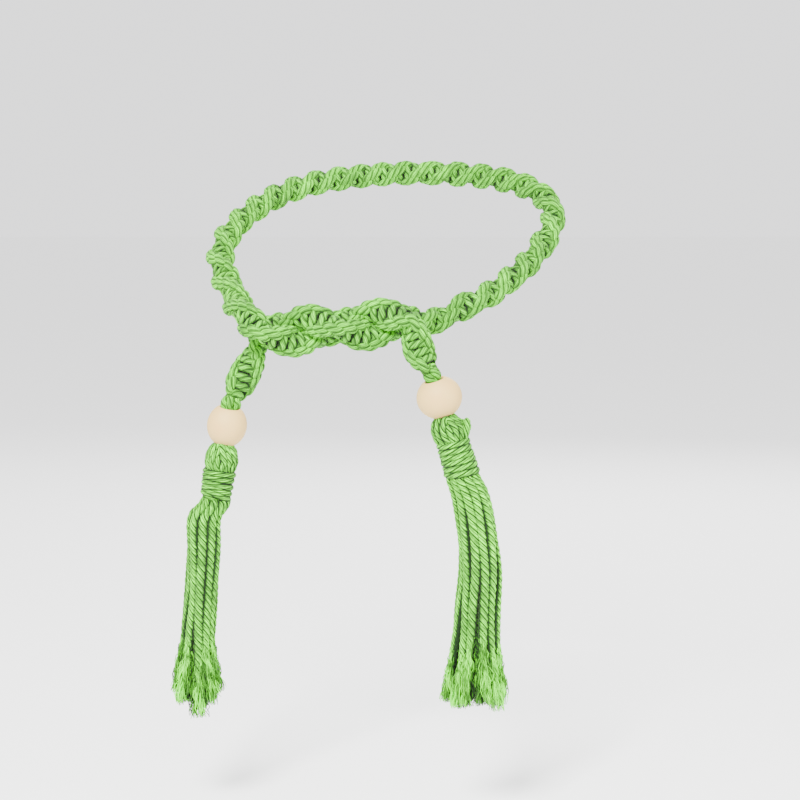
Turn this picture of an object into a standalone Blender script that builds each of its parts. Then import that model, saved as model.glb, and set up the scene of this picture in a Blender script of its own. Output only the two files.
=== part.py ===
"""A macrame tieback: one knotted band, drawn round a bundle and twisted in front, and two tassels.

The band is a spiral of half knots. It runs from the left bead up through the front twist,
along the right side, round the back, down the left side, through the twist again and down
to the right bead. Each bead sits on the band's bare neck, and a tassel hangs below it:
cords folded over a ball, bound by a wrapped collar and left to fray.

Metres, +Z up, front towards -Y. The origin is the middle of the loop. Tables are in millimetres.
"""
from math import pi, radians

import bpy
import numpy as np

MM = 0.001
GAP = 0.3                       # clearance between touching pieces, mm

# ---- the knotted band, mm ----
KNOT_PITCH = 4.8                # one half knot along the band
RINGS_PER_KNOT = 2              # a ridge and a valley
BAND_SIDES = 12
TIGHT_HALF_WIDTH = 7.0          # where the band is fully twisted
OPEN_HALF_WIDTH = 7.6           # where the twist is drawn out
TIGHT_HALF_TURN = 17.0          # length of half a turn there
OPEN_HALF_TURN = 30.0
BAND_HALF_THICKNESS = 4.8
FACE_RIDGE = 0.8                # how far a knot's bar stands up on the flat face
EDGE_RIDGE = 0.6                # and its loop on the edge, half a knot later
SECTION_POWER = 2.3             # 2 is an ellipse, more is boxier
LOOP_HALF_WIDTH = 94.0
LOOP_HALF_DEPTH = 57.0
SIDE_SHARPNESS = 5              # how late the flat face turns from the front to the side

# ---- the front twist: two passes of the band round each other, mm ----
TWIST_LEFT = (-61.5, -61.5, -42.0)
TWIST_RIGHT = (13.5, -61.5, -35.5)
TWIST_RADIUS_UP = 7.0
TWIST_RADIUS_DEEP = 8.0
TWIST_STEPS = 8                 # points for one turn
TWIST_HALF_TURNS = 3            # that a pass makes about itself there

# The band's route outside the twist: x, y, z in mm, and the half turns made so far.
# A whole number of half turns means that the flat face looks outwards.
LEFT_TAIL = (
    (-77.0, -55.5, -71.0, -0.25),
    (-73.0, -54.0, -63.0, 0.05),
    (-67.5, -51.0, -51.5, 0.45),
)
LOOP = (
    (26.0, -48.0, -36.0, 5.0),
    (42.5, -43.5, -28.5, 6.0),
    (55.5, -37.0, -22.5, 7.0),
    (66.5, -29.5, -15.0, 8.0),
    (75.5, -20.0, -8.0, 9.0),
    (83.5, -9.0, 0.5, 10.0),
    (91.0, 4.0, 11.5, 11.0),
    (92.5, 19.0, 23.5, 12.2),
    (83.5, 32.5, 33.5, 13.5),
    (65.0, 42.5, 40.0, 15.2),
    (40.0, 48.5, 43.0, 17.1),
    (11.0, 50.5, 43.5, 19.1),
    (-17.5, 49.0, 41.5, 21.3),
    (-45.5, 43.5, 36.5, 23.5),
    (-68.5, 33.0, 26.5, 25.6),
    (-85.0, 18.0, 12.0, 27.4),
    (-90.5, 0.0, -4.0, 28.6),
    (-85.0, -18.0, -18.0, 29.55),
    (-78.5, -38.0, -27.5, 30.25),
    (-70.5, -62.0, -35.0, 31.0),
)
RIGHT_TAIL = (
    (17.5, -71.0, -48.0, 35.0),
    (21.7, -72.5, -57.0, 35.4),
)
FIRST_TWIST = 1.05              # half turns made where the first pass begins its turn
SECOND_TWIST = 31.57            # and the second pass
LEFT_NECK = -0.55               # and in the two necks
RIGHT_NECK = 35.8

# ---- beads, collars and tassels, mm and degrees ----
DROPS = {
    "left": dict(
        bead=(-82.8, -57.5, -90.5), tilt=-9.5, bead_radius=10.5, bead_half_height=9.8,
        head_radius=8.8, head_height=13.6, collar_height=16.4, collar_radius=8.7, collar_turns=5,
        skirt=((-94.5, -150.5), (-96.5, -182.0), (-98.0, -203.0), (-99.0, -238.0)),
        skirt_radius=(
            (0.0, 4.6), (0.06, 6.9), (0.18, 8.4), (0.45, 8.7), (0.7, 9.4), (0.85, 11.5), (1.0, 14.5),
        ),
        seed=3,
    ),
    "right": dict(
        bead=(28.6, -73.0, -74.5), tilt=16.8, bead_radius=11.9, bead_half_height=9.8,
        head_radius=9.6, head_height=13.0, collar_height=19.8, collar_radius=9.3, collar_turns=6,
        skirt=((44.0, -123.0), (50.0, -158.5), (49.0, -180.0), (48.0, -200.0), (47.5, -235.0)),
        skirt_radius=(
            (0.0, 5.3), (0.06, 7.8), (0.15, 9.4), (0.4, 11.6), (0.7, 12.4), (0.85, 15.0), (1.0, 18.0),
        ),
        seed=8,
    ),
}
NECK_RADIUS = 4.2               # the band's bare cords inside a bead
HOLE_RADIUS = 4.7
HOLE_CHAMFER = 1.0
COLLAR_WALL = 2.8
COLLAR_GROOVE = 0.7             # depth of the groove between two turns of the collar
ROUND_STEPS = 24
HEAD_CORDS = 8                  # folded cords that show round the head
HEAD_FLUTE = 0.07               # how deep the folds between them are, as a share of the radius
OUTER_CORDS = 8
INNER_CORDS = 3
CORD_RINGS = 8
LOCKS_PER_CORD = 3
LOCK_RINGS = 4
CORD_SHARE = 0.84               # the share of the skirt's length before a cord frays

GREEN = (0.205, 0.515, 0.100)
PALE_WOOD = (0.83, 0.69, 0.52)


def unit(vectors):
    """Scale each vector to length 1."""
    return vectors / np.linalg.norm(vectors, axis=-1, keepdims=True)


def smooth_rows(rows, step):
    """Natural cubic spline through rows of x, y, z and more, read every step along its length."""
    rows = np.array(rows, float)
    chord = np.sqrt(np.linalg.norm(np.diff(rows[:, :3], axis=0), axis=1))
    knots = np.concatenate(([0.0], np.cumsum(chord)))
    span = np.diff(knots)
    count = len(rows)
    system = np.eye(count)
    slopes = np.zeros_like(rows)
    for i in range(1, count - 1):
        system[i, i - 1:i + 2] = span[i - 1], 2 * (span[i - 1] + span[i]), span[i]
        slopes[i] = 6 * ((rows[i + 1] - rows[i]) / span[i] - (rows[i] - rows[i - 1]) / span[i - 1])
    bend = np.linalg.solve(system, slopes)
    fine = np.linspace(0, knots[-1], 60 * count)
    i = np.clip(np.searchsorted(knots, fine, side="right") - 1, 0, count - 2)
    width = span[i][:, None]
    left = (knots[i + 1] - fine)[:, None] / width
    right = 1 - left
    curve = left * rows[i] + right * rows[i + 1]
    curve += ((left ** 3 - left) * bend[i] + (right ** 3 - right) * bend[i + 1]) * width ** 2 / 6
    along = np.concatenate(([0.0], np.cumsum(np.linalg.norm(np.diff(curve[:, :3], axis=0), axis=1))))
    even = np.linspace(0, along[-1], int(round(along[-1] / step)) + 1)
    columns = [np.interp(even, along, column) for column in curve.T]
    return even, np.stack(columns, axis=1)


def drop_axis(drop):
    """Direction from a bead down to its tassel: straight down, leaning by the drop's tilt."""
    tilt = radians(drop["tilt"])
    return np.array((np.sin(tilt), 0.0, -np.cos(tilt)))


def twist_pass(side, half_turns):
    """One pass through the front twist, from left to right: side 1 starts in front, -1 behind.

    half_turns is the number of half turns made where the pass begins.
    """
    left = np.array(TWIST_LEFT)
    right = np.array(TWIST_RIGHT)
    rows = []
    for i in range(TWIST_STEPS + 1):
        turn = i / TWIST_STEPS
        angle = 2 * pi * turn
        point = left + (right - left) * turn
        point[1] -= side * TWIST_RADIUS_DEEP * np.cos(angle)
        point[2] -= side * TWIST_RADIUS_UP * np.sin(angle)
        rows.append((*point, half_turns + TWIST_HALF_TURNS * turn))
    return rows


def band_rows():
    """The whole route from the lower end of one neck to the lower end of the other."""
    left, right = DROPS["left"], DROPS["right"]

    def neck(drop, half_turns):
        rows = []
        for share in (1.0, 0.0, -1.0):
            point = np.array(drop["bead"]) + share * drop["bead_half_height"] * drop_axis(drop)
            rows.append((*point, half_turns))
        return rows

    start = neck(left, LEFT_NECK)
    end = neck(right, RIGHT_NECK)[::-1]
    first = twist_pass(-1, FIRST_TWIST)
    second = twist_pass(1, SECOND_TWIST)
    return [*start, *LEFT_TAIL, *first, *LOOP, *second, *RIGHT_TAIL, *end]


def outward(points, along):
    """The direction in which the loop faces at each point, at right angles to the band."""
    x = (points[:, 0] / LOOP_HALF_WIDTH) ** SIDE_SHARPNESS / LOOP_HALF_WIDTH
    y = points[:, 1] / LOOP_HALF_DEPTH ** 2
    facing = np.stack((x, y, np.zeros_like(x)), axis=1)
    facing -= np.sum(facing * along, axis=1, keepdims=True) * along
    return unit(facing)


def knotted_band(material):
    """Loft a flat rounded section along the route, turning left-handed, with a ridge at each knot.

    A ring's points are centre + across * a * c + out * b * s, where c and s are the rounded
    cosine and sine of the point's angle. Every second ring stands up on the flat faces and is
    drawn in at the edges, which makes the bars and loops of the knots.
    """
    along, rows = smooth_rows(band_rows(), KNOT_PITCH / RINGS_PER_KNOT)
    centre = rows[:, :3]
    half_turns = rows[:, 3]
    forward = unit(np.gradient(centre, axis=0))
    out = outward(centre, forward)
    side = np.cross(forward, out)
    turned = -pi * half_turns[:, None]
    face = out * np.cos(turned) + side * np.sin(turned)
    across = np.cross(face, forward)

    rate = np.gradient(along, half_turns + 1e-6 * along)
    open_share = np.clip((np.abs(rate) - TIGHT_HALF_TURN) / (OPEN_HALF_TURN - TIGHT_HALF_TURN), 0, 1)
    soft = np.ones(9) / 9
    open_share = np.convolve(np.pad(open_share, 4, mode="edge"), soft, "valid")
    half_width = TIGHT_HALF_WIDTH + (OPEN_HALF_WIDTH - TIGHT_HALF_WIDTH) * open_share

    knotted = np.ones(len(along))
    for name, at_start in (("left", True), ("right", False)):
        bare = 2 * DROPS[name]["bead_half_height"]
        distance = along if at_start else along[-1] - along
        knotted = np.minimum(knotted, np.clip((distance - bare - 0.6) / 9.0, 0, 1))
    knotted = knotted ** 0.6
    half_width = NECK_RADIUS + (half_width - NECK_RADIUS) * knotted
    half_thickness = NECK_RADIUS + (BAND_HALF_THICKNESS - NECK_RADIUS) * knotted

    angle = 2 * pi * np.arange(BAND_SIDES) / BAND_SIDES
    power = 2 / SECTION_POWER
    c = np.sign(np.cos(angle)) * np.abs(np.cos(angle)) ** power
    s = np.sign(np.sin(angle)) * np.abs(np.sin(angle)) ** power
    bare = (1 - knotted)[:, None]
    c = np.cos(angle) * bare + c * (1 - bare)
    s = np.sin(angle) * bare + s * (1 - bare)
    beat = np.where(np.arange(len(along)) % RINGS_PER_KNOT == 0, 1.0, -1.0) * knotted
    wide = (half_width - EDGE_RIDGE * beat)[:, None] * c
    thick = (half_thickness + FACE_RIDGE * beat)[:, None] * s
    points = centre[:, None] + across[:, None] * wide[..., None] + face[:, None] * thick[..., None]
    return lofted("knotted_band", points, material)


def lofted(name, rings, material):
    """Join rings of points (ring, point, xyz), in mm, with quads and close both ends with a face."""
    ring_count, sides = rings.shape[:2]
    faces = []
    for i in range(ring_count - 1):
        for k in range(sides):
            a = i * sides + k
            b = i * sides + (k + 1) % sides
            faces.append((a, b, b + sides, a + sides))
    faces.append(tuple(range(sides - 1, -1, -1)))
    faces.append(tuple((ring_count - 1) * sides + k for k in range(sides)))
    mesh = bpy.data.meshes.new(name)
    mesh.from_pydata((rings.reshape(-1, 3) * MM).tolist(), [], faces)
    mesh.update()
    return placed(name, mesh, material)


def placed(name, mesh, material, collection="tieback"):
    """Put a mesh into the part's collection as a named object with its material."""
    obj = bpy.data.objects.new(name, mesh)
    mesh.materials.append(material)
    bpy.data.collections[collection].objects.link(obj)
    return obj


def turned(name, profile, drop, centre, material, steps=ROUND_STEPS):
    """Screw a closed profile of radius and height (mm) round the drop's axis at a centre."""
    mesh = bpy.data.meshes.new(name)
    corners = [(radius * MM, 0, height * MM) for radius, height in profile]
    edges = [(i, (i + 1) % len(corners)) for i in range(len(corners))]
    mesh.from_pydata(corners, edges, [])
    obj = placed(name, mesh, material)
    obj.location = np.array(centre) * MM
    obj.rotation_euler = (0, -radians(drop["tilt"]), 0)
    screw = obj.modifiers.new("turned", "SCREW")
    screw.steps = steps
    screw.render_steps = steps
    screw.use_merge_vertices = True
    screw.merge_threshold = 0.00001
    return obj


def bead(name, drop, material):
    """A turned wooden bead: a round belly, small flats and a chamfered hole."""
    belly, half = drop["bead_radius"], drop["bead_half_height"]
    lip = HOLE_RADIUS + HOLE_CHAMFER
    slope = np.arccos(lip / belly)
    profile = []
    for share in np.linspace(1, -1, 11):
        angle = slope * share
        profile.append((belly * np.cos(angle), half * np.sin(angle) / np.sin(slope)))
    profile.append((HOLE_RADIUS, HOLE_CHAMFER * 0.6 - half))
    profile.append((HOLE_RADIUS, half - HOLE_CHAMFER * 0.6))
    return turned(name, profile, drop, drop["bead"], material)


def collar(name, drop, material):
    """The wrapped collar: a sleeve with a rounded ridge for each turn of the wrapping cord."""
    outer = drop["collar_radius"]
    inner = outer - COLLAR_WALL
    height, turns = drop["collar_height"], drop["collar_turns"]
    profile = [(outer - 1.2, height / 2)]
    for i in range(turns):
        crown = height * (0.5 - (i + 0.5) / turns)
        valley = height * (0.5 - (i + 1) / turns)
        profile.append((outer - 0.15, crown + height / turns * 0.28))
        profile.append((outer - 0.15, crown - height / turns * 0.28))
        if i < turns - 1:
            profile.append((outer - COLLAR_GROOVE, valley))
    profile.append((outer - 1.2, -height / 2))
    profile.append((inner, -height / 2))
    profile.append((inner, height / 2))
    top = drop["bead_half_height"] + drop["head_height"] + GAP
    centre = np.array(drop["bead"]) + drop_axis(drop) * (top + height / 2)
    return turned(name, profile, drop, centre, material)


def head_rings(drop):
    """Rings of the tassel's head and of its neck inside the collar: a fluted ball on a stem."""
    axis = drop_axis(drop)
    right = np.cross((0.0, 1.0, 0.0), axis)
    back = np.array((0.0, 1.0, 0.0))
    stem = drop["collar_radius"] - COLLAR_WALL - GAP
    top = drop["bead_half_height"] + GAP
    height = drop["head_height"] - GAP
    collar_end = top + height + GAP + drop["collar_height"]
    profile = [(drop["head_radius"] * 0.45, top)]
    for share in (0.12, 0.3, 0.5, 0.7, 0.88):
        bulge = np.sqrt(1 - (2 * share - 1) ** 2)
        profile.append((drop["head_radius"] * (0.45 + 0.55 * bulge), top + height * share))
    profile.append((stem, top + height))
    profile.append((stem, collar_end - 3.0))
    profile.append((stem, collar_end + 1.5))
    angle = 2 * pi * np.arange(3 * HEAD_CORDS) / (3 * HEAD_CORDS)
    rings = []
    for radius, distance in profile:
        on_ball = 1.0 if distance < top + height and distance > top else 0.0
        fluted = radius * (1 + HEAD_FLUTE * on_ball * (np.cos(HEAD_CORDS * angle) - 0.5))
        centre = np.array(drop["bead"]) + axis * distance
        ring = centre + fluted[:, None] * (np.outer(np.cos(angle), right) + np.outer(np.sin(angle), back))
        rings.append(ring)
    return np.array(rings), collar_end


def skirt_frame(drop, collar_end):
    """The skirt's middle line below the collar, and how wide the skirt is along it."""
    axis = drop_axis(drop)
    start = np.array(drop["bead"]) + axis * (collar_end - 1.5)
    lip = np.array(drop["bead"]) + axis * (collar_end + 3.0)
    y = drop["bead"][1]
    rows = [start, lip] + [np.array((x, y, z)) for x, z in drop["skirt"]]
    along, line = smooth_rows(rows, 1.0)
    share = along / along[-1]
    table = np.array(drop["skirt_radius"])
    radius = np.interp(share, table[:, 0], table[:, 1])
    return share, line, unit(np.gradient(line, axis=0)), radius


def strand(name, frame, angle, reach, ends, half, sides, rings, material, nudge=(0.0, 0.0)):
    """One cord or lock: a tube whose place in the skirt is an angle and a share of its radius.

    ends are the shares of the skirt's length where it begins and stops, half is its
    half-thickness at both, and nudge moves it sideways and outwards at its lower end.
    """
    share, line, forward, radius = frame
    at = np.linspace(ends[0], ends[1], rings)
    centre = np.stack([np.interp(at, share, column) for column in line.T], axis=1)
    along = unit(np.stack([np.interp(at, share, column) for column in forward.T], axis=1))
    right = unit(np.cross((0.0, 1.0, 0.0), along))
    back = np.cross(along, right)
    out = right * np.cos(angle) + back * np.sin(angle)
    aside = np.cross(along, out)
    spread = np.interp(at, share, radius)
    drift = np.linspace(0, 1, rings)[:, None]
    centre = centre + out * (reach * spread)[:, None] + (aside * nudge[0] + out * nudge[1]) * drift
    thick = np.linspace(half[0], half[1], rings)
    turn = 2 * pi * (np.arange(sides) + 0.5) / sides
    ring = out[:, None] * np.cos(turn)[None, :, None] + aside[:, None] * np.sin(turn)[None, :, None]
    points = centre[:, None] + ring * thick[:, None, None]
    return lofted(name, points, material)


def joined(target, pieces):
    """Fuse pieces into the target by union and remove them."""
    for piece in pieces:
        union = target.modifiers.new(piece.name, "BOOLEAN")
        union.operation = "UNION"
        union.object = piece
    bpy.context.view_layer.update()
    mesh = bpy.data.meshes.new_from_object(target.evaluated_get(bpy.context.evaluated_depsgraph_get()))
    target.modifiers.clear()
    target.data = mesh
    for piece in pieces:
        bpy.data.objects.remove(piece, do_unlink=True)
    return target


def tassel(name, drop, material):
    """A tassel: the fluted head on its neck, cords fused into the neck, and frayed locks."""
    rings, collar_end = head_rings(drop)
    head = lofted(name, rings, material)
    frame = skirt_frame(drop, collar_end)
    random = np.random.default_rng(drop["seed"])
    for ring, (count, reach, half) in enumerate(((OUTER_CORDS, 0.72, 2.5), (INNER_CORDS, 0.24, 1.5))):
        for k in range(count):
            label = f"{name}_cord_{ring}{k}"
            angle = 2 * pi * (k + 0.15 * random.uniform(-1, 1)) / count
            ends = (0.0, CORD_SHARE + 0.02 * random.uniform(-1, 1))
            halves = (0.8 * half, 1.25 * half)
            cord = strand(label, frame, angle, reach, ends, halves, 4, CORD_RINGS, material)
            locks = []
            for j in range(LOCKS_PER_CORD if ring == 0 else 1):
                around = 2 * pi * j / LOCKS_PER_CORD + random.uniform(0, 1)
                spread = 1.5 + random.uniform(0, 0.7)
                nudge = (spread * np.cos(around), spread * np.sin(around))
                stop = 0.97 + 0.03 * random.uniform(-1, 1)
                lock = strand(
                    f"{label}_lock_{j}", frame, angle, reach, (ends[1] - 0.04, stop),
                    (0.8 * half, 0.35 * half), 3, LOCK_RINGS, material, nudge,
                )
                locks.append(lock)
            joined(head, [joined(cord, locks)])
    return head


def plain_material(name, colour, roughness):
    """A Principled material of one colour."""
    material = bpy.data.materials.new(name)
    material.use_nodes = True
    shader = material.node_tree.nodes["Principled BSDF"]
    shader.inputs["Base Color"].default_value = (*colour, 1.0)
    shader.inputs["Roughness"].default_value = roughness
    shader.inputs["Metallic"].default_value = 0.0
    return material


def build():
    """Clear the scene and make the seven pieces."""
    for obj in list(bpy.data.objects):
        bpy.data.objects.remove(obj, do_unlink=True)
    bpy.context.scene.collection.children.link(bpy.data.collections.new("tieback"))
    knotted_band(plain_material("band_cotton", GREEN, 0.9))
    for side, drop in DROPS.items():
        bead(f"bead_{side}", drop, plain_material(f"bead_{side}_wood", PALE_WOOD, 0.65))
        collar(f"collar_{side}", drop, plain_material(f"collar_{side}_cotton", GREEN, 0.9))
        tassel(f"tassel_{side}", drop, plain_material(f"tassel_{side}_cotton", GREEN, 0.9))


build()
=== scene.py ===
# %% [markdown]
# # A knotted cotton tieback with two tassels
#
# The real thing is one band of macrame. Two working cords are tied round filler cords with the
# same half knot again and again, which makes the band turn like a spiral stair. It closes into a
# loop, its two ends are twisted round each other in front, and each end runs through a turned
# wooden bead into a tassel: a ball of folded cords, a wrapped collar and a frayed skirt.
#
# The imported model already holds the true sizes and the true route. This lesson dresses it: every
# cord below is a real four-ply cord that goes over and under the others as the knots do.

# %% Open the fixed frame
from math import cos, pi, radians, sin

import bpy
import numpy as np
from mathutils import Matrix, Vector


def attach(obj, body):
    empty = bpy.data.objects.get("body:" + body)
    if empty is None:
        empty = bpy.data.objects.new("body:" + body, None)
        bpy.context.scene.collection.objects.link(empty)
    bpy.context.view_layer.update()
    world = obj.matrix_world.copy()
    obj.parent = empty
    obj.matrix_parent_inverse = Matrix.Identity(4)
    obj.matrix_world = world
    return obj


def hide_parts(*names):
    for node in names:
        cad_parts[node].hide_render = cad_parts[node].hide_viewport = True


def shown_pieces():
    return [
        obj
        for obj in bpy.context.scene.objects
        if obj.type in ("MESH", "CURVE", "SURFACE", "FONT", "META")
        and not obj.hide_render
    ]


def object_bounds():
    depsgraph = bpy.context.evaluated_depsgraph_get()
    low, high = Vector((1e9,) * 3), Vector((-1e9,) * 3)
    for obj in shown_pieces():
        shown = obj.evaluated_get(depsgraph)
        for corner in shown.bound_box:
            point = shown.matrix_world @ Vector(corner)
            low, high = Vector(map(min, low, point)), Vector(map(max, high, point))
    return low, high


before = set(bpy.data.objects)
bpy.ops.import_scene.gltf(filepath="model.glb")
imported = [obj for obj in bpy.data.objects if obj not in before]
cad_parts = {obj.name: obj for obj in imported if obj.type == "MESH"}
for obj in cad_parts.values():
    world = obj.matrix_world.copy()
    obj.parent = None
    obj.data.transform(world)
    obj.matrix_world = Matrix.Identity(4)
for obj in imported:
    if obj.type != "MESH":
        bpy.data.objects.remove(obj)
cad_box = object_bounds()
print("nodes:", sorted(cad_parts))
print("frame box, mm:", [[round(1000 * x, 1) for x in corner] for corner in cad_box])

# %% [markdown]
# ## The camera
#
# The object is seen from straight in front and a little above. A long lens from a bit over a metre
# gives the photograph's flat, calm perspective. The camera comes first, because every later choice
# of detail depends on how large a millimetre looks: about two pixels.

# %% Place the camera
CAMERA_PLACE = (0.00825, -1.1627, 0.0195)
CAMERA_DOWN = 5.0               # degrees below the horizon
FOCAL_PIXELS = 2110             # for a picture 800 pixels wide
PICTURE_WIDTH = 800
SENSOR_WIDTH = 36.0             # mm

camera = bpy.data.objects.new("camera", bpy.data.cameras.new("camera"))
camera.data.sensor_width = SENSOR_WIDTH
camera.data.lens = SENSOR_WIDTH * FOCAL_PIXELS / PICTURE_WIDTH
camera.location = CAMERA_PLACE
camera.rotation_euler = (radians(90 - CAMERA_DOWN), 0, 0)
bpy.context.scene.collection.objects.link(camera)
bpy.context.scene.camera = camera
print("lens, mm:", round(camera.data.lens, 1))

# %% [markdown]
# ## The band's route
#
# The route is a smooth curve through listed points, the same ones that the solid follows.
# Each row is x, y, z in metres and then how many half turns the band has made so far. Where that
# number is whole, the flat face looks outwards. In the front twist the rows come from a formula:
# two passes run round each other like the strands of a rope, one full turn from left to right.

# %% The route's own numbers
TWIST_LEFT = (-0.0615, -0.0615, -0.0420)
TWIST_RIGHT = (0.0135, -0.0615, -0.0355)
TWIST_RADIUS_UP = 0.0057
TWIST_RADIUS_DEEP = 0.0074
TWIST_STEPS = 8                 # points for one turn
TWIST_HALF_TURNS = 3            # that a pass makes about itself there
FIRST_TWIST = 1.05              # half turns made where the first pass begins its turn
SECOND_TWIST = 31.57            # and the second pass
LEFT_NECK = -0.55               # half turns made in the two necks
RIGHT_NECK = 35.8
LOOP_HALF_WIDTH = 0.094
LOOP_HALF_DEPTH = 0.057
SIDE_SHARPNESS = 5              # how late the flat face turns from the front to the side
LEFT_TAIL = (
    (-0.0770, -0.0555, -0.0710, -0.25),
    (-0.0730, -0.0540, -0.0630, 0.05),
    (-0.0675, -0.0510, -0.0515, 0.45),
)
LOOP = (
    (0.0260, -0.0480, -0.0360, 5.0),
    (0.0425, -0.0435, -0.0285, 6.0),
    (0.0555, -0.0370, -0.0225, 7.0),
    (0.0665, -0.0295, -0.0150, 8.0),
    (0.0755, -0.0200, -0.0080, 9.0),
    (0.0835, -0.0090, 0.0005, 10.0),
    (0.0910, 0.0040, 0.0115, 11.0),
    (0.0925, 0.0190, 0.0235, 12.2),
    (0.0835, 0.0325, 0.0335, 13.5),
    (0.0650, 0.0425, 0.0400, 15.2),
    (0.0400, 0.0485, 0.0430, 17.1),
    (0.0110, 0.0505, 0.0435, 19.1),
    (-0.0175, 0.0490, 0.0415, 21.3),
    (-0.0455, 0.0435, 0.0365, 23.5),
    (-0.0685, 0.0330, 0.0265, 25.6),
    (-0.0850, 0.0180, 0.0120, 27.4),
    (-0.0905, 0.0000, -0.0040, 28.6),
    (-0.0850, -0.0180, -0.0180, 29.55),
    (-0.0785, -0.0380, -0.0275, 30.25),
    (-0.0705, -0.0620, -0.0350, 31.0),
)
RIGHT_TAIL = (
    (0.0175, -0.0710, -0.0480, 35.0),
    (0.0217, -0.0725, -0.0570, 35.4),
)
print("rows chosen by hand:", len(LEFT_TAIL + LOOP + RIGHT_TAIL))

# %% [markdown]
# The beads, collars and tassels hang on two lines, which lean a little. Their sizes are the
# solid's own, so that each dressed piece fits over the node that it stands for.

# %% The two drops
DROPS = {
    "left": dict(
        bead=(-0.0828, -0.0575, -0.0905), tilt=-9.5, bead_radius=0.0105, bead_half=0.0098,
        head_radius=0.0088, head_height=0.0136, collar_height=0.0164, collar_radius=0.0087,
        collar_turns=6, collar_flare=-0.04, collar_tilt=(-0.15, 0.36), seed=3,
        outer_cords=10, inner_cords=5, ends_middle=0.045, ends_right=0.0,
        skirt=((-0.0940, -0.1375), (-0.0956, -0.1505), (-0.0975, -0.1820), (-0.0988, -0.2030),
               (-0.0990, -0.2380)),
        skirt_radius=(
            (0.0, 0.0070), (0.03, 0.0087), (0.1, 0.0094), (0.45, 0.0088), (0.7, 0.0095),
            (0.85, 0.0115), (1.0, 0.0142),
        ),
    ),
    "right": dict(
        bead=(0.0286, -0.0730, -0.0745), tilt=16.8, bead_radius=0.0119, bead_half=0.0098,
        head_radius=0.0096, head_height=0.0130, collar_height=0.0198, collar_radius=0.0093,
        collar_turns=6.35, collar_flare=0.04, collar_tilt=(-0.03, 0.03), seed=8,
        outer_cords=12, inner_cords=8, ends_middle=0.0, ends_right=0.012,
        skirt=((0.0440, -0.1230), (0.0500, -0.1585), (0.0490, -0.1800), (0.0480, -0.2000),
               (0.0475, -0.2350)),
        skirt_radius=(
            (0.0, 0.0082), (0.02, 0.0096), (0.08, 0.0102), (0.2, 0.0107), (0.4, 0.0117),
            (0.7, 0.0126), (0.85, 0.0148), (1.0, 0.0172),
        ),
    ),
}


def drop_axis(drop):
    """The direction from a bead down to its tassel: straight down, leaning by the drop's tilt."""
    tilt = radians(drop["tilt"])
    return np.array((sin(tilt), 0.0, -cos(tilt)))


print("beads, mm across:", [round(2000 * drop["bead_radius"], 1) for drop in DROPS.values()])

# %% [markdown]
# A natural cubic spline bends as little as it can while it passes through every row. It is worked
# out once for all four columns, so the half turns flow as smoothly as the place does.

# %% A smooth line through rows
def unit(vectors):
    """Each vector divided by its own length."""
    return vectors / np.linalg.norm(vectors, axis=-1, keepdims=True)


def square_to(vectors, forward):
    """The part of each vector at right angles to the direction beside it, made 1 long."""
    return unit(vectors - np.sum(vectors * forward, axis=-1, keepdims=True) * forward)


def length_to(points):
    """Length along each line to each of its points. The last two axes are step and xyz."""
    steps = np.linalg.norm(np.diff(points, axis=-2), axis=-1)
    return np.concatenate((np.zeros_like(steps[..., :1]), np.cumsum(steps, axis=-1)), axis=-1)


def read_rows(at, along, rows):
    """Read a table at some lengths, where along is the length at each of its rows."""
    return np.stack([np.interp(at, along, column) for column in rows.T], axis=-1)


def smooth_rows(rows, step):
    """Natural cubic spline through the rows, with the square root of each chord as its parameter,
    read at even steps of its length. Returns the lengths and the rows there."""
    rows = np.array(rows, float)
    chord = np.sqrt(np.linalg.norm(np.diff(rows[:, :3], axis=0), axis=1))
    knots = np.concatenate(([0.0], np.cumsum(chord)))
    span = np.diff(knots)
    count = len(rows)
    system = np.eye(count)
    slopes = np.zeros_like(rows)
    for i in range(1, count - 1):
        system[i, i - 1:i + 2] = span[i - 1], 2 * (span[i - 1] + span[i]), span[i]
        slopes[i] = 6 * ((rows[i + 1] - rows[i]) / span[i] - (rows[i] - rows[i - 1]) / span[i - 1])
    bend = np.linalg.solve(system, slopes)
    fine = np.linspace(0, knots[-1], 60 * count)
    i = np.clip(np.searchsorted(knots, fine, side="right") - 1, 0, count - 2)
    width = span[i][:, None]
    left = (knots[i + 1] - fine)[:, None] / width
    right = 1 - left
    curve = left * rows[i] + right * rows[i + 1]
    curve += ((left ** 3 - left) * bend[i] + (right ** 3 - right) * bend[i + 1]) * width ** 2 / 6
    along = length_to(curve[:, :3])
    even = np.linspace(0, along[-1], int(round(along[-1] / step)) + 1)
    return even, read_rows(even, along, curve)


quarter = smooth_rows([(0, 1, 0), (0.5, 0.75 ** 0.5, 0), (0.75 ** 0.5, 0.5, 0), (1, 0, 0)], 0.1)[0][-1]
print("a quarter circle through four rows:", round(quarter, 3), "and truly", round(pi / 2, 3))


# %% The whole route, from the lower end of one bead to the lower end of the other
def twist_pass(side, half_turns):
    """One pass through the front twist: a circle round the line from left to right, carried along
    it. Side 1 starts in front and -1 behind."""
    left, right = np.array(TWIST_LEFT), np.array(TWIST_RIGHT)
    rows = []
    for i in range(TWIST_STEPS + 1):
        turn = i / TWIST_STEPS
        point = left + (right - left) * turn
        point[1] -= side * TWIST_RADIUS_DEEP * cos(2 * pi * turn)
        point[2] -= side * TWIST_RADIUS_UP * sin(2 * pi * turn)
        rows.append((*point, half_turns + TWIST_HALF_TURNS * turn))
    return rows


def neck(drop, half_turns):
    """Three rows through a bead's hole, from the bottom to the top."""
    middle, axis = np.array(drop["bead"]), drop_axis(drop)
    return [(*(middle + share * drop["bead_half"] * axis), half_turns) for share in (1, 0, -1)]


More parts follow.
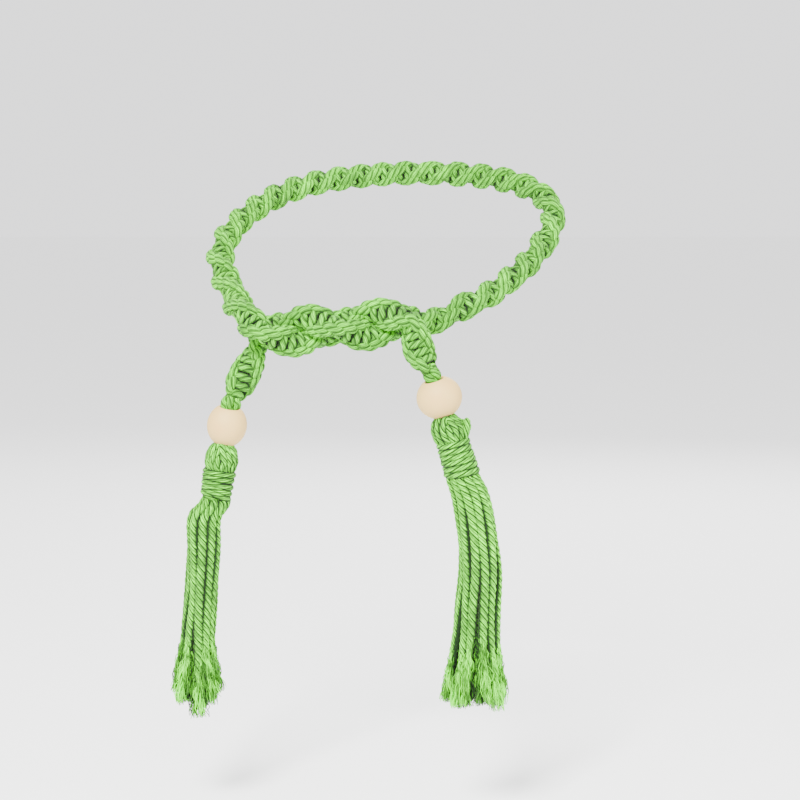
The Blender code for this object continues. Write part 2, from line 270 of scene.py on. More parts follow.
ROUTE_STEP = 0.0004
route_rows = [
    *neck(DROPS["left"], LEFT_NECK), *LEFT_TAIL, *twist_pass(-1, FIRST_TWIST), *LOOP,
    *twist_pass(1, SECOND_TWIST), *RIGHT_TAIL, *neck(DROPS["right"], RIGHT_NECK)[::-1],
]
route_along, route = smooth_rows(route_rows, ROUTE_STEP)
band_length = route_along[-1]
print("band, neck to neck, mm:", round(1000 * band_length))
print("half turns:", round(route[-1, 3] - route[0, 3], 1))

# %% [markdown]
# A cord's place in the band is told in the band's own terms: how far along, how far across the
# flat face and how far up from it. For that each step of the route carries three directions. The
# outward one comes from the loop's plan, a rounded rectangle, and it is then turned about the
# band's line by the half turns made so far. The turn is left-handed, as the knots' winding is.

# %% Directions carried along the route
def outward(points, forward):
    """The way the loop faces: the slope of (x/94)^6 / 6 + (y/57)^2 / 2 in mm, at right angles to
    the band's line."""
    x = (points[:, 0] / LOOP_HALF_WIDTH) ** SIDE_SHARPNESS / LOOP_HALF_WIDTH
    y = points[:, 1] / LOOP_HALF_DEPTH ** 2
    return square_to(np.stack((x, y, np.zeros_like(x)), axis=1), forward)


route_forward = unit(np.gradient(route[:, :3], axis=0))
route_out = outward(route[:, :3], route_forward)
route_angle = -pi * route[:, 3:4]
route_face = route_out * np.cos(route_angle) + np.cross(route_forward, route_out) * np.sin(route_angle)
route_across = np.cross(route_face, route_forward)
off_square = np.abs(np.sum(route_face * route_forward, axis=1)).max()
print("face and line are square, to", round(off_square, 6))


def along_route(s, values):
    """Read a table with one row for each step of the route at the lengths s."""
    return read_rows(s, route_along, values)


def on_band(s, u, v):
    """The point s along the band, u across its face and v up from it, and the band's middle there."""
    middle = along_route(s, route[:, :3])
    point = middle + along_route(s, route_across) * u[..., None]
    return point + along_route(s, route_face) * v[..., None], middle


# %% [markdown]
# ## One half knot, pulled tight
#
# In a half knot the left cord passes over the fillers and under the right cord. The right cord
# passes behind the fillers and comes up over the left one. After each knot the cords have changed
# sides, so each cord makes a bar in front, an edge, a bar behind and the other edge, and then
# starts again. Both cords and every knot are the same curve, moved up and turned.
#
# Drawing that curve by eye never looks tight. Here eleven points give a slack knot that goes over
# and under in the right places, and a short relaxation pulls it tight, as a maker's hands do:
# every point moves towards the middle of its neighbours, and away from whatever cord it touches.
# The touching distance is less than the cord's full thickness, because cotton gives.

# %% The slack knot, and the hand that pulls it
KNOT_PITCH = 0.0045
CORD_RADIUS = 0.0025
KNOT_STEPS = 30                 # points for one knot
TOUCHING = 0.0029               # how near two squeezed cords come, middle to middle
FILLER_RADIUS = 0.0013          # a filler's, squeezed inside the knots
FILLER_ASIDE = 0.0015           # how far the two fillers lie from the band's middle
SAME_CORD = 9                   # points along its own cord that a point doesn't feel
ROUNDS = 600
FIRST_SIZE = 0.3                # share of their thickness that the cords start with
GROWN_AFTER = 0.6               # share of the rounds after which they have all of it
CORD_YIELD = 6                  # a push from a cord is divided by this
FILLER_PUSH = 0.35              # and one from a filler multiplied by this
LONGEST_MOVE = 0.0003           # in one round
SLACK_KNOT = (                  # across, up, and along in pitches, from a front bar to the next back bar
    (0.0000, 0.0042, 0.00),
    (0.0034, 0.0041, -0.04),
    (0.0058, 0.0022, -0.04),
    (0.0073, -0.0016, 0.10),
    (0.0088, -0.0020, 0.42),
    (0.0090, 0.0012, 0.73),
    (0.0076, 0.0034, 0.98),
    (0.0059, 0.0016, 1.31),
    (0.0048, -0.0024, 1.29),
    (0.0030, -0.0041, 1.08),
    (0.0000, -0.0042, 1.00),
)


def rotated(points, angle):
    """Points turned about the band's line, by one angle or each by its own."""
    u = points[:, 0] * np.cos(angle) - points[:, 1] * np.sin(angle)
    v = points[:, 0] * np.sin(angle) + points[:, 1] * np.cos(angle)
    return np.stack((u, v, points[:, 2]), axis=1)


def screwed(points, knots, twist, extra=0.0):
    """Move points along by whole knots and turn them by twist for each, and by extra once."""
    return rotated(points, twist * knots + extra) + (0, 0, knots * KNOT_PITCH)


def spaced(points, count):
    """The same line with evenly spaced points."""
    along = length_to(points)
    return read_rows(np.linspace(0, along[-1], count), along, points)


def tight_knot(twist):
    """Relax the slack knot in a band that turns by twist at each knot.

    Half a revolution is free. The other half is its copy, moved one knot on and turned half way
    round. Each round adds half the way to the neighbours' middle, and a push away from each cord
    and filler that is too near. Returns one revolution, two knots long, in band terms."""
    slack = np.array(SLACK_KNOT)
    half = np.concatenate([screwed(row[None] * (1, 1, 0), row[2], twist) for row in slack])
    half = spaced(half, KNOT_STEPS + 1)[:-1]
    index = np.arange(2 * KNOT_STEPS)
    for count in range(ROUNDS):
        grown = min(1.0, FIRST_SIZE + (1 - FIRST_SIZE) * count / (GROWN_AFTER * ROUNDS))
        whole = np.concatenate((half, screwed(half, 1, twist, pi)))
        before = np.concatenate((screwed(whole[-1:], -2, twist), whole[:-1]))
        after = np.concatenate((whole[1:], screwed(whole[:1], 2, twist)))
        move = 0.5 * ((before + after) / 2 - whole)
        for k in range(-4, 5):
            away = whole[:, None] - screwed(whole, k, twist)[None]
            distance = np.linalg.norm(away, axis=2) + 1e-9
            near = np.clip(TOUCHING * grown - distance, 0, None)
            if k % 2 == 0:
                same = index[:, None] - index[None] - len(index) * (k // 2)
                near[np.abs(same) < SAME_CORD] = 0
            move += (away / distance[..., None] * near[..., None]).sum(axis=1) / CORD_YIELD
        angle = twist * whole[:, 2] / KNOT_PITCH
        for aside in (-FILLER_ASIDE, FILLER_ASIDE):
            away = whole[:, :2] - aside * np.stack((np.cos(angle), np.sin(angle)), axis=1)
            distance = np.linalg.norm(away, axis=1) + 1e-9
            near = np.clip((FILLER_RADIUS + TOUCHING / 2) * grown - distance, 0, None)
            move[:, :2] += away / distance[:, None] * near[:, None] * FILLER_PUSH
        half = half + np.clip(move[:KNOT_STEPS], -LONGEST_MOVE, LONGEST_MOVE)
        if count % 10 == 9:
            half = spaced(np.concatenate((half, screwed(half[:1], 1, twist, pi))), KNOT_STEPS + 1)[:-1]
    whole = np.concatenate((half, screwed(half, 1, twist, pi)))
    return rotated(whole, -twist * whole[:, 2] / KNOT_PITCH)


# %% Two tight knots, for a band that turns fast and one that is drawn out
FAST_TWIST = radians(-50)       # turn at each knot where the band spirals freely
SLOW_TWIST = radians(-28)       # and in the front twist, which undoes part of it
FAST_SIZE = (0.0074, 0.0047)    # half width and half thickness that the knot is squeezed to
SLOW_SIZE = (0.0086, 0.0054)
BAR_SLANT = 0.04                # along for each across, taken out of the bars in front and behind


def squeezed(knot, size):
    """Scale a knot so that its cords' outsides come to a half width and half thickness."""
    across, up = (size[i] - CORD_RADIUS for i in (0, 1))
    knot = knot * (across / np.abs(knot[:, 0]).max(), up / np.abs(knot[:, 1]).max(), 1)
    knot[:, 2] += BAR_SLANT * knot[:, 0] * knot[:, 1] / up
    return knot


fast_knot = squeezed(tight_knot(FAST_TWIST), FAST_SIZE)
slow_knot = squeezed(tight_knot(SLOW_TWIST), SLOW_SIZE)
for name, knot in (("fast", fast_knot), ("slow", slow_knot)):
    print(name, "knot, mm:", np.round(1000 * knot[:KNOT_STEPS:4], 1).tolist())


# %% How sheltered each side of the cord lies inside the knots
SHELTER_ANGLES = 24
FULLY_HIDDEN = 1.6              # the sum counts cords behind cords, so it passes 1


# This shelter is painted on the band's cotton as shade: a cord is darker where its neighbours hide it.
def knot_shelter(knot, twist):
    """Share of the open half space above each spot of a round cord that its neighbours hide: the
    sum over short pieces of them of width x length x slope / (pi x distance squared)."""
    turned = rotated(knot, twist * knot[:, 2] / KNOT_PITCH)
    cords = [screwed(turned, k, twist, pi * (k % 2)) for k in range(-3, 4)]
    print("one revolution joins, mm:", np.round(1000 * np.linalg.norm(cords[5][0] - turned[-1]), 2))
    forward = unit(np.roll(turned, -1, axis=0) - np.roll(turned, 1, axis=0))
    forward[[0, -1]] = forward[[1, -2]]
    out = square_to(turned * (1, 1, 0), forward)
    aside = np.cross(out, forward)
    way = 2 * pi * np.arange(SHELTER_ANGLES) / SHELTER_ANGLES
    normal = aside[:, None] * np.cos(way)[:, None] + out[:, None] * np.sin(way)[:, None]
    spots = turned[:, None] + normal * CORD_RADIUS
    length = np.linalg.norm(turned[1] - turned[0])
    hidden = np.zeros(spots.shape[:2])
    index = np.arange(len(turned))
    for k, cord in zip(range(-3, 4), cords):
        away = cord[None, None] - spots[:, :, None]
        distance = np.linalg.norm(away, axis=3)
        slope = np.clip(np.sum(away * normal[:, :, None], axis=3) / distance, 0, None)
        part = 2 * CORD_RADIUS * length * slope / (pi * np.maximum(distance, CORD_RADIUS) ** 2)
        if k % 2 == 0:
            near = np.abs(index[:, None] - index[None] - len(index) * (k // 2)) < SAME_CORD
            part[np.broadcast_to(near[:, None], part.shape)] = 0
        hidden += part.sum(axis=2)
    return np.clip(hidden / FULLY_HIDDEN, 0, 1)


fast_shelter = knot_shelter(fast_knot, FAST_TWIST)
slow_shelter = knot_shelter(slow_knot, SLOW_TWIST)
print("sheltered, from least to most:", np.round(np.percentile(slow_shelter, (0, 5, 25, 50, 75, 95)), 2))

# %% [markdown]
# ## A four-ply cord
#
# The cotton cord has four plies laid together. Their outline, cut across, is four circles that
# meet in grooves, so a cord can be one closed surface: that outline carried along the cord's
# path, and turned clockwise as it goes. From any side the grooves then run from upper left to
# lower right, as they do on the real cord. One skin costs a quarter of four separate tubes and
# has nothing hidden inside.
#
# The surface keeps two things for its finish: a map with the way round the cord and the way along
# it in metres, and a value that is 1 on a ply's crown and 0 in a groove.

# %% The outline of four plies
PLIES = 4
TIED_PLY_STEPS = 4              # points across one ply, in the band
FREE_PLY_STEPS = 5              # and in the tassels
FREE_LAY = 0.0156               # length of one turn of the plies, where a cord hangs free
TIED_LAY = 0.0170               # and where it is pulled in the knots


def ply_outline(roundness, steps):
    """Angle and distance from the middle, for an outer radius of 1: the far side of the nearest
    ply's circle, d cos a + sqrt(r^2 - d^2 sin^2 a), with a measured from that ply. Roundness is
    r / d: the larger it is, the shallower the grooves. The last column is 1 on a ply's crown and
    0 in a groove."""
    within = np.arange(steps) / steps * 2 - 1
    within = np.sign(within) * np.abs(within) ** 0.8 * pi / PLIES
    distance = (np.cos(within) + np.sqrt(roundness ** 2 - np.sin(within) ** 2)) / (1 + roundness)
    angle = (within[None] + 2 * pi / PLIES * np.arange(PLIES)[:, None]).ravel()
    crown = (distance - distance.min()) / (distance.max() - distance.min())
    print("groove at", round(distance.min(), 2), "of the radius")
    return angle, np.tile(distance, PLIES), np.tile(crown, PLIES)


free_outline = ply_outline(1.35, FREE_PLY_STEPS)
tied_outline = ply_outline(2.6, TIED_PLY_STEPS)


# %% Carry an outline along many paths at once
def square_sides(paths, towards):
    """Two directions at right angles to each step of some paths: up, the part of towards that is
    so, and aside."""
    forward = unit(np.gradient(paths, axis=1))
    up = square_to(towards, forward)
    return up, np.cross(up, forward)


def swept(paths, towards, radius, outline=free_outline, lay=FREE_LAY, start=0.0, flat=1.0):
    """Surfaces of strands: path + (side cos a + up sin a) times the outline, where up is the part
    of towards at right angles to the path, and a falls by one turn for each lay. flat is the
    section's height over its width. Arrays are strand, step, then xyz. Returns points as strand,
    step, corner, xyz, the length along each strand and the angle a of each corner."""
    up, aside = square_sides(paths, towards)
    along = length_to(paths)
    turned = outline[0] + (np.reshape(start, (-1, 1)) - 2 * pi * along / lay)[..., None]
    size = np.broadcast_to(np.asarray(radius, float), along.shape)[..., None] * outline[1]
    wide = (size * np.cos(turned))[..., None]
    high = (size * np.sin(turned))[..., None] * flat
    return paths[:, :, None] + aside[:, :, None] * wide + up[:, :, None] * high, along, turned


# %% One mesh from many strands
def strand_mesh(name, parts):
    """Join strands of several kinds into one mesh. Each part is points (strand, step, corner, xyz),
    length along (strand, step), crown (corner), shade (strand, step) and shelter (strand, step,
    corner). Quads join each ring to the next, corner by corner, and a face closes each end."""
    places, corners, starts, maps = [], [], [], []
    looks = {"crown": [], "shade": [], "shelter": []}
    first, used = 0, 0
    for points, along, crown, shade, shelter in parts:
        strands, rings, sides = points.shape[:3]
        index = first + np.arange(strands * rings * sides).reshape(points.shape[:3])
        after = np.roll(index, -1, axis=2)
        quads = np.stack((index[:, :-1], after[:, :-1], after[:, 1:], index[:, 1:]), axis=-1)
        caps = np.concatenate((index[:, 0, ::-1], index[:, -1]))
        corners += [quads.ravel(), caps.ravel()]
        starts += [used + 4 * np.arange(quads.size // 4)]
        starts += [used + quads.size + sides * np.arange(2 * strands)]
        around = np.arange(sides + 1) / sides
        u = np.stack((around[:-1], around[1:], around[1:], around[:-1]), axis=-1)
        v = np.stack((along[:, :-1], along[:, :-1], along[:, 1:], along[:, 1:]), axis=-1)
        u = np.broadcast_to(u[None, None], quads.shape)
        v = np.broadcast_to(v[:, :, None], quads.shape)
        maps += [np.stack((u, v), axis=-1).reshape(-1, 2), np.zeros((caps.size, 2))]
        places.append(points.reshape(-1, 3))
        for values, kept in zip((crown, shade[..., None], shelter), looks.values()):
            kept.append(np.broadcast_to(values, index.shape).ravel())
        first += index.size
        used += quads.size + caps.size
    places, corners, starts = np.concatenate(places), np.concatenate(corners), np.concatenate(starts)
    mesh = bpy.data.meshes.new(name)
    mesh.vertices.add(len(places))
    mesh.vertices.foreach_set("co", places.astype(np.float32).ravel())
    mesh.loops.add(len(corners))
    mesh.loops.foreach_set("vertex_index", corners.astype(np.int32))
    mesh.polygons.add(len(starts))
    mesh.polygons.foreach_set("loop_start", starts.astype(np.int32))
    mesh.polygons.foreach_set("use_smooth", np.ones(len(starts), bool))
    maps = np.concatenate(maps).astype(np.float32)
    mesh.uv_layers.new(name="UVMap").uv.foreach_set("vector", maps.ravel())
    for label, values in looks.items():
        attribute = mesh.attributes.new(label, "FLOAT", "POINT")
        attribute.data.foreach_set("value", np.concatenate(values).astype(np.float32))
    mesh.update(calc_edges=True)
    return mesh


def piece(mesh, slot, *nodes):
    """An object for a mesh that rides on the body and stands for some nodes. Its slot is not used."""
    obj = bpy.data.objects.new(mesh.name, mesh)
    bpy.context.scene.collection.objects.link(obj)
    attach(obj, "root")
    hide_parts(*nodes)
    mesh.calc_loop_triangles()
    print(f"{mesh.name}: {len(mesh.loop_triangles)} triangles")
    return obj


# %% [markdown]
# ## The knotted band
#
# The tight knot is repeated along the whole route. Where the band spirals fast its path is the
# fast knot's, in the front twist it is the slow one's, and in between a mix of the two. Above
# each bead the knots stop. There the cords run straight, spread out where the bead pushes
# against them, and go down its hole as a bundle of four.

# %% Where the band is knotted, and how fast it turns
KNOTS_BEGIN = 0.0040            # above a bead, where the first knot starts to pull in
KNOTS_FULL = 0.0110
BUNDLE_RADIUS = 0.0020          # from the neck's middle to a cord's
FLARE = 0.62                    # how much wider the bundle is where the bead pushes it
FLARE_ABOVE = 0.0018            # above the bead
FLARE_LENGTH = 0.0017
SOFT_STEPS = 41                 # of the route, over which its turning is smoothed


def eased(share):
    """A share held between 0 and 1, which leaves 0 and reaches 1 gently: 3 share^2 - 2 share^3."""
    share = np.clip(share, 0, 1)
    return share * share * (3 - 2 * share)


turns = np.gradient(route[:, 3], route_along)
turns = np.pad(turns, SOFT_STEPS // 2, mode="edge")
turns = np.convolve(turns, np.ones(SOFT_STEPS) / SOFT_STEPS, "valid")
knot_turn = np.abs(pi * turns * KNOT_PITCH)
fast_share = np.clip((knot_turn + SLOW_TWIST) / (SLOW_TWIST - FAST_TWIST), 0, 1)
above_bead = np.minimum(
    route_along - 2 * DROPS["left"]["bead_half"],
    band_length - route_along - 2 * DROPS["right"]["bead_half"],
)
knotted = eased((above_bead - KNOTS_BEGIN) / (KNOTS_FULL - KNOTS_BEGIN))
flare = BUNDLE_RADIUS * (1 + FLARE * np.exp(-((above_bead - FLARE_ABOVE) / FLARE_LENGTH) ** 2))
print("turn at each knot, degrees:", np.round(np.degrees((knot_turn.min(), knot_turn.max()))))


# %% The working cords and the fillers
FILLER_SWELL = 0.0019           # a filler's radius as drawn: it swells into the room between bars
# The filler's shelter is painted on it as shade, so a filler that shows between the bars is dark.
FILLER_HIDDEN = 0.8             # shelter of a filler inside the knots
FILLER_STEP = 0.0014


def slow_shade(along, seed):
    """A shade that drifts along a cord: three sines of unlike lengths, from about -1 to 1."""
    start = np.random.default_rng(seed).uniform(0, 2 * pi, 3)
    waves = [np.sin(2 * pi * along / length + a) for length, a in zip((0.021, 0.047, 0.11), start)]
    return sum(waves) / 3


def working_cord(late):
    """One working cord, tied 0 or 1 knots late. Where the band isn't tied, the knot's wiggle fades
    and the cord keeps to its own side of the bundle."""
    steps = 2 * KNOT_STEPS
    step_length = KNOT_PITCH / KNOT_STEPS
    first = int(-late * KNOT_STEPS)
    index = np.arange(first, int(band_length / step_length) - late * KNOT_STEPS)
    s = (index + late * KNOT_STEPS) * step_length
    at = index % steps
    fast = np.interp(s, route_along, fast_share)[:, None]
    knot = slow_knot[at] * (1 - fast) + fast_knot[at] * fast
    wiggle = knot[:, 2] - at * step_length
    tied = np.interp(s, route_along, knotted)
    bundle = np.interp(s, route_along, flare)
    u = tied * knot[:, 0]
    v = tied * knot[:, 1] + (1 - tied) * bundle * (1 - 2 * late)
    path, middle = on_band(s + tied * wiggle, u, v)
    points, along, turned = swept(path[None], (path - middle)[None], CORD_RADIUS, tied_outline, TIED_LAY)
    side = np.round(turned[0] / (2 * pi) * SHELTER_ANGLES).astype(int) % SHELTER_ANGLES
    # Painted shade from the knots' shelter, faded out where the band isn't tied.
    shelter = slow_shelter[at[:, None], side] * (1 - fast) + fast_shelter[at[:, None], side] * fast
    return points, along, tied_outline[2], slow_shade(along, late), shelter * tied[:, None]


def filler_cord(side):
    """One filler: straight beside the band's middle line, hidden where the knots hold it and painted
    dark there as shade.
    """
    s = np.linspace(0, band_length, int(band_length / FILLER_STEP))
    tied = np.interp(s, route_along, knotted)
    bundle = np.interp(s, route_along, flare)
    u = side * (tied * FILLER_ASIDE + (1 - tied) * bundle)
    path, middle = on_band(s, u, np.zeros_like(s))
    up = along_route(s, route_face)[None]
    points, along, turned = swept(path[None], up, FILLER_SWELL, tied_outline, TIED_LAY)
    return points, along, tied_outline[2], slow_shade(along, 5 + side), FILLER_HIDDEN * tied[:, None]


for late, label in ((0, "band_cord_one"), (1, "band_cord_two")):
    part = working_cord(late)
    piece(strand_mesh(label, [part]), "band_cotton", "knotted_band")
    print(label, "is", round(part[1][0, -1], 2), "m long")
piece(strand_mesh("band_fillers", [filler_cord(-1), filler_cord(1)]), "band_cotton", "knotted_band")

# %% [markdown]
# ## The beads
#
# A bead this size is turned from a pale, even-grained wood and drilled through. The tool leaves
# two small flats round the hole and a soft chamfer. The shape is a profile turned about the
# drop's line: an ellipse's arc outside, a straight wall inside, and small quarter circles where
# they meet. As a closed ring of rings it has no pole and no seam.

# %% Turn a bead
HOLE_RADIUS = 0.0047
LIP = 0.0010                    # width and depth of the rounded lip at the hole
BEAD_LEAN = 8                   # degrees


def drop_frame(drop):
    """The drop's line downwards, a direction to its right and one to its back."""
    axis = drop_axis(drop)
    return axis, np.cross(axis, (0.0, 1.0, 0.0)), np.array((0.0, 1.0, 0.0))


def bead_mesh(name, drop, around=96):
    """Profile (radius, height) turned about the drop's line: x = r cos a, y = r sin a. The bead
    leans a little, its top to the front, on the cords that pass through it."""
    belly, half = drop["bead_radius"], drop["bead_half"]
    rim = HOLE_RADIUS + LIP
    slope = np.arccos(rim / belly)
    arc = np.linspace(1, -1, 45) * slope
    radius = belly * np.cos(arc)
    height = half * np.sin(arc) / np.sin(slope)
    turn = np.linspace(0, pi / 2, 7)
    lip_radius = rim - LIP * np.sin(turn)
    lip_height = half - LIP * (1 - np.cos(turn))
    wall = np.linspace(lip_height[-1], -lip_height[-1], 12)[1:-1]
    bore = np.full(len(wall), HOLE_RADIUS)
    radius = np.concatenate((radius, lip_radius[1:], bore, lip_radius[::-1][:-1]))
    height = np.concatenate((height, -lip_height[1:], -wall, lip_height[::-1][:-1]))
    angle = np.linspace(0, 2 * pi, around, endpoint=False)
    axis, right, back = drop_frame(drop)
    lean = radians(BEAD_LEAN)
    axis, back = axis * cos(lean) + back * sin(lean), back * cos(lean) - axis * sin(lean)
    spoke = np.cos(angle)[:, None] * right + np.sin(angle)[:, None] * back
    points = np.array(drop["bead"]) + radius[:, None, None] * spoke - height[:, None, None] * axis
    rows, sides = points.shape[:2]
    index = np.arange(rows * sides).reshape(rows, sides)
    below = np.roll(index, -1, axis=0)
    quads = np.stack((index, below, np.roll(below, -1, axis=1), np.roll(index, -1, axis=1)), axis=-1)
    mesh = bpy.data.meshes.new(name)
    mesh.from_pydata(points.reshape(-1, 3), [], quads.reshape(-1, 4).tolist())
    mesh.shade_smooth()
    mesh.update()
    return mesh


for side, drop in DROPS.items():
    piece(bead_mesh(f"bead_wood_{side}", drop), "bead_wood", f"bead_{side}")

# %% [markdown]
# ## The collars
#
# Each collar is one cord wound round the neck of the tassel and tucked in. It is a helix, and
# because it is pulled hard its section is flatter than round and its plies run nearly along it.

# %% Wind a collar
COLLAR_LAY = 0.030
COLLAR_CORD_WIDTH = 0.70        # of the pitch: more than half, so the turns press together
COLLAR_CORD_HEIGHT = 0.0017     # half its thickness, outwards
COLLAR_UNEVEN = 0.00022         # how far a turn wanders up and down
COLLAR_OUT_UNEVEN = 0.00012     # and in and out
COLLAR_TUCK = 0.0022            # how far each end dives inwards
COLLAR_TUCK_TURNS = 0.16        # and over which part of a turn
COLLAR_START = 1.1              # angle of the upper end, round from the right
COLLAR_PACKED = 1.0             # sine of the angle at which a turn's neighbours begin to cover it


# Painted shade: the shelter darkens the side of a cord that faces in among its neighbours.
def facing_in(turned, packed):
    """Shelter of a cord among others: 0 where it faces out, 1 where it faces in. It rises with
    packed - sin(turned), where packed is the sine at which its neighbours begin to cover it."""
    return np.clip((packed - np.sin(turned)) / 0.6, 0, 1)


def drop_point(drop, distance, radius, angle):
    """A point on a drop: a distance below the bead's middle, a radius and an angle round its line."""
    axis, right, back = drop_frame(drop)
    spoke = np.cos(angle)[..., None] * right + np.sin(angle)[..., None] * back
    middle = np.array(drop["bead"]) + np.asarray(distance)[..., None] * axis
    return middle + np.asarray(radius)[..., None] * spoke, middle


def collar_part(drop):
    """A helix of the collar's radius, whose two ends are tucked in. It widens or narrows downwards
    by the drop's flare, its turns tilt up or down at the right, and each wanders a little."""
    turns = drop["collar_turns"]
    top = drop["bead_half"] + drop["head_height"]
    pitch = drop["collar_height"] / turns
    t = np.linspace(0, 1, int(60 * turns))
    wound = t * (turns - 0.4)
    shown = np.clip(np.minimum(wound, wound[-1] - wound) / COLLAR_TUCK_TURNS, 0, 1)
    radius = drop["collar_radius"] * (1 + drop["collar_flare"] * (2 * t - 1))
    radius = radius - COLLAR_CORD_HEIGHT - COLLAR_TUCK * (1 - shown) ** 2
    radius = radius + COLLAR_OUT_UNEVEN * np.sin(9.7 * wound)
    angle = 2 * pi * wound + COLLAR_START
    distance = top + pitch * 0.2 + (drop["collar_height"] - pitch * 0.5) * t
    distance = distance + COLLAR_UNEVEN * np.sin(4.4 * wound + drop["seed"])
    distance = distance + np.interp(t, (0, 1), drop["collar_tilt"]) * radius * np.cos(angle)
    path, middle = drop_point(drop, distance, radius, angle)
    width = pitch * COLLAR_CORD_WIDTH
    points, along, turned = swept(path[None], (path - middle)[None], width, free_outline, COLLAR_LAY,
                                  flat=COLLAR_CORD_HEIGHT / width)
    # Painted shade: darker on the side of each turn that faces in.
    shelter = facing_in(turned, COLLAR_PACKED)
    return points, along, free_outline[2], slow_shade(along, drop["seed"]), shelter


for side, drop in DROPS.items():
    mesh = strand_mesh(f"collar_wrap_{side}", [collar_part(drop)])
    piece(mesh, "collar_cotton", f"collar_{side}")

# %% [markdown]
# ## The heads
#
# Between bead and collar the tassel's cords are folded over into a ball. Some come straight down
# from the bead's hole. Others were hung on at their middle, so they make an arch: up from the
# collar, over and down again. On the right-hand ball one arch stands out at the side as a small
# loop. No two balls fall alike, so the cords that show in front are drawn one by one, each by a
# few points on the ball: degrees round it from the front, share of its height above the collar,
# and how far it lies above its neighbours. Plain cords fill the back.

# %% The cords that show on each head
HEAD_CORD_RADIUS = 0.0021
HEAD_STEP = 0.0006
CLEAR_LIFT = 2.4                # a cord this far above the ball, in mm, is in the open
FOLDS = {
    "left": (
        ((-50, 1.04, 0.0), (-70, 0.66, 0.1), (-79, 0.32, 0.2), (-70, 0.0, 0.0), (-68, -0.25, -1.0)),
        ((-22, 1.04, 0.0), (-43, 0.66, 0.2), (-54, 0.32, 0.3), (-46, 0.0, 0.0), (-44, -0.25, -1.0)),
        ((2, 0.86, -0.6), (-17, 0.66, 0.3), (-31, 0.36, 0.5), (-32, 0.0, 0.0), (-30, -0.25, -1.0)),
        ((-6, 0.66, -1.6), (-10, 0.42, -0.1), (-12, 0.2, 0.2), (-11, 0.0, 0.0), (-11, -0.25, -1.0)),
        ((-14, 1.04, 0.2), (6, 0.68, 0.9), (16, 0.34, 0.6), (9, 0.02, 0.0), (8, -0.25, -1.0)),
        ((12, 1.04, 0.0), (28, 0.66, 0.4), (37, 0.34, 0.3), (31, 0.0, 0.0), (30, -0.25, -1.0)),
        ((38, 1.04, 0.0), (54, 0.66, 0.2), (62, 0.34, 0.3), (54, 0.0, 0.0), (52, -0.25, -1.0)),
        ((66, 1.04, 0.0), (80, 0.66, 0.0), (88, 0.32, 0.4), (80, 0.0, 0.0), (78, -0.25, -1.0)),
    ),
    "right": (
        ((-82, 1.04, 0.0), (-76, 0.7, 0.0), (-70, 0.35, 0.1), (-72, 0.0, 0.0), (-72, -0.25, -1.0)),
        ((-28, 1.04, 0.2), (-44, 0.7, 0.3), (-46, 0.35, 0.2), (-44, 0.0, 0.0), (-44, -0.25, -1.0)),
        ((-14, -0.25, -1.0), (-19, 0.1, 0.0), (-22, 0.4, 0.3), (-15, 0.7, 0.8), (2, 0.86, 1.2),
         (16, 0.68, 0.9), (21, 0.38, 0.5), (18, 0.1, 0.1), (16, -0.25, -1.0)),
        ((0, 0.74, -1.4), (-1, 0.46, -0.2), (0, 0.2, 0.2), (1, 0.0, 0.0), (1, -0.25, -1.0)),
        ((10, 1.04, -0.2), (33, 0.74, 0.3), (43, 0.4, 0.4), (40, 0.04, 0.0), (38, -0.25, -1.0)),
        ((62, -0.25, -1.0), (63, 0.0, 0.8), (66, 0.26, 2.2), (76, 0.48, 2.7), (92, 0.50, 2.7),
         (102, 0.26, 2.2), (106, 0.0, 0.6), (108, -0.25, -1.0)),
        ((84, -0.25, -1.0), (84, 0.0, 0.4), (84, 0.24, 1.2), (84, 0.44, 1.0), (84, 0.62, -1.0)),
        ((50, 1.04, 0.0), (62, 0.72, -0.4), (78, 0.4, -0.4), (88, 0.04, 0.0), (88, -0.25, -1.0)),
    ),
}
BEHIND = {"left": (108, 264), "right": (136, 262)}      # degrees round where plain cords hang
PLAIN_CORDS = 6
PLAIN_ROWS = ((1.04, 0), (0.7, 0.1), (0.36, 0.1), (0.0, 0), (-0.25, -1.0))     # height and lift
PLAIN_LEAN = (-10, 0, 5, 0, 0)  # degrees round, at those rows
HEAD_PACKED = 0.92
BALL = (                        # share of the head's height, share of its radius
    (-0.25, 0.80), (-0.05, 0.90), (0.2, 0.99), (0.45, 1.0), (0.7, 0.90), (0.9, 0.66), (1.04, 0.44),
)
print("cords on each head:", {side: len(rows) + PLAIN_CORDS for side, rows in FOLDS.items()})


